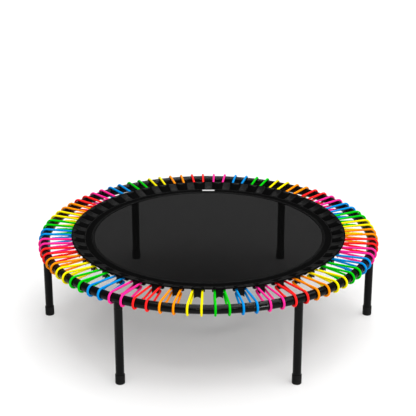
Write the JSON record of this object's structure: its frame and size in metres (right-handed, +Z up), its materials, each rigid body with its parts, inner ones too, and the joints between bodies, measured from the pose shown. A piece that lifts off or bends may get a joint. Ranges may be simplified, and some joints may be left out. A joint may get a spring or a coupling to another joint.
{
  "type": "mini trampoline",
  "caption": "Round fitness rebounder: black tube frame on screw-in legs, see-through jumping mat hung on coloured bungee rings.",
  "frame": {"origin": "on the floor under the centre of the frame ring", "axes": "+Z up; a leg stands on each side along +X and -X; +Y points away from the front"},
  "size_m": [1.2656, 1.2658, 0.351],
  "materials": {
    "frame_paint": "semi-gloss black powder coat",
    "bare_steel": "zinc plated",
    "black_steel": "black oxide",
    "foot_rubber": "matt black",
    "mat_mesh": "woven mesh, a little see-through",
    "edge_fabric": "matt black weave",
    "webbing": "ribbed black webbing",
    "hook_plastic": "moulded black",
    "label": "plain pale woven label",
    "cord_blue": "smooth braided cover",
    "cord_pink": "smooth braided cover",
    "cord_red": "smooth braided cover",
    "cord_orange": "smooth braided cover",
    "cord_yellow": "smooth braided cover",
    "cord_green": "smooth braided cover"
  },
  "bodies": {
    "frame": {"frame_ring": "frame_paint", "leg_sockets": "frame_paint", "bungee_blue": "cord_blue", "sleeve_blue": "cord_blue", "bungee_pink": "cord_pink", "sleeve_pink": "cord_pink", "bungee_red": "cord_red", "sleeve_red": "cord_red", "bungee_orange": "cord_orange", "sleeve_orange": "cord_orange", "bungee_yellow": "cord_yellow", "sleeve_yellow": "cord_yellow", "bungee_green": "cord_green", "sleeve_green": "cord_green"},
    "mat": {"mat_disc": "mat_mesh", "mat_border": "edge_fabric", "edge_flap": "edge_fabric", "edge_piping": "edge_fabric", "edge_webbings": "webbing", "strap_folds": "webbing", "label_patch": "label", "hook_straps": "webbing", "ring_hooks": "hook_plastic"},
    "washer_1": {"leg_washer_1": "black_steel"},
    "leg_1": {"leg_tube_1": "frame_paint", "leg_stud_1": "bare_steel", "foot_cap_1": "foot_rubber"},
    "washer_2": {"leg_washer_2": "black_steel"},
    "leg_2": {"leg_tube_2": "frame_paint", "leg_stud_2": "bare_steel", "foot_cap_2": "foot_rubber"},
    "washer_3": {"leg_washer_3": "black_steel"},
    "leg_3": {"leg_tube_3": "frame_paint", "leg_stud_3": "bare_steel", "foot_cap_3": "foot_rubber"},
    "washer_4": {"leg_washer_4": "black_steel"},
    "leg_4": {"leg_tube_4": "frame_paint", "leg_stud_4": "bare_steel", "foot_cap_4": "foot_rubber"},
    "washer_5": {"leg_washer_5": "black_steel"},
    "leg_5": {"leg_tube_5": "frame_paint", "leg_stud_5": "bare_steel", "foot_cap_5": "foot_rubber"},
    "washer_6": {"leg_washer_6": "black_steel"},
    "leg_6": {"leg_tube_6": "frame_paint", "leg_stud_6": "bare_steel", "foot_cap_6": "foot_rubber"}
  },
  "joints": [
    {"name": "mat_bounce", "type": "slide", "parent": "frame", "child": "mat", "axis": [0, 0, 1], "range_m": [-0.15, 0.02], "stiffness_N_per_m": 7500, "springref_m": 0.0011, "deforming": ["bungee_blue", "sleeve_blue", "bungee_pink", "sleeve_pink", "bungee_red", "sleeve_red", "bungee_orange", "sleeve_orange", "bungee_yellow", "sleeve_yellow", "bungee_green", "sleeve_green"]},
    {"name": "leg_travel_1", "type": "slide", "parent": "frame", "child": "washer_1", "axis": [0, 0, -1], "range_m": [0, 0.021]},
    {"name": "leg_turn_1", "type": "hinge", "parent": "washer_1", "child": "leg_1", "pos_m": [0.609, 0, 0.3], "axis": [0, 0, -1], "range_deg": [0, 4320]},
    {"name": "leg_travel_2", "type": "slide", "parent": "frame", "child": "washer_2", "axis": [0, 0, -1], "range_m": [0, 0.021]},
    {"name": "leg_turn_2", "type": "hinge", "parent": "washer_2", "child": "leg_2", "pos_m": [0.3045, 0.52741, 0.3], "axis": [0, 0, -1], "range_deg": [0, 4320]},
    {"name": "leg_travel_3", "type": "slide", "parent": "frame", "child": "washer_3", "axis": [0, 0, -1], "range_m": [0, 0.021]},
    {"name": "leg_turn_3", "type": "hinge", "parent": "washer_3", "child": "leg_3", "pos_m": [-0.3045, 0.52741, 0.3], "axis": [0, 0, -1], "range_deg": [0, 4320]},
    {"name": "leg_travel_4", "type": "slide", "parent": "frame", "child": "washer_4", "axis": [0, 0, -1], "range_m": [0, 0.021]},
    {"name": "leg_turn_4", "type": "hinge", "parent": "washer_4", "child": "leg_4", "pos_m": [-0.609, 0, 0.3], "axis": [0, 0, -1], "range_deg": [0, 4320]},
    {"name": "leg_travel_5", "type": "slide", "parent": "frame", "child": "washer_5", "axis": [0, 0, -1], "range_m": [0, 0.021]},
    {"name": "leg_turn_5", "type": "hinge", "parent": "washer_5", "child": "leg_5", "pos_m": [-0.3045, -0.52741, 0.3], "axis": [0, 0, -1], "range_deg": [0, 4320]},
    {"name": "leg_travel_6", "type": "slide", "parent": "frame", "child": "washer_6", "axis": [0, 0, -1], "range_m": [0, 0.021]},
    {"name": "leg_turn_6", "type": "hinge", "parent": "washer_6", "child": "leg_6", "pos_m": [0.3045, -0.52741, 0.3], "axis": [0, 0, -1], "range_deg": [0, 4320]}
  ],
  "couplings": [
    {"joint": "leg_turn_1", "follows": "leg_travel_1", "rad_per_m": 3590.4},
    {"joint": "leg_turn_2", "follows": "leg_travel_2", "rad_per_m": 3590.4},
    {"joint": "leg_turn_3", "follows": "leg_travel_3", "rad_per_m": 3590.4},
    {"joint": "leg_turn_4", "follows": "leg_travel_4", "rad_per_m": 3590.4},
    {"joint": "leg_turn_5", "follows": "leg_travel_5", "rad_per_m": 3590.4},
    {"joint": "leg_turn_6", "follows": "leg_travel_6", "rad_per_m": 3590.4}
  ]
}
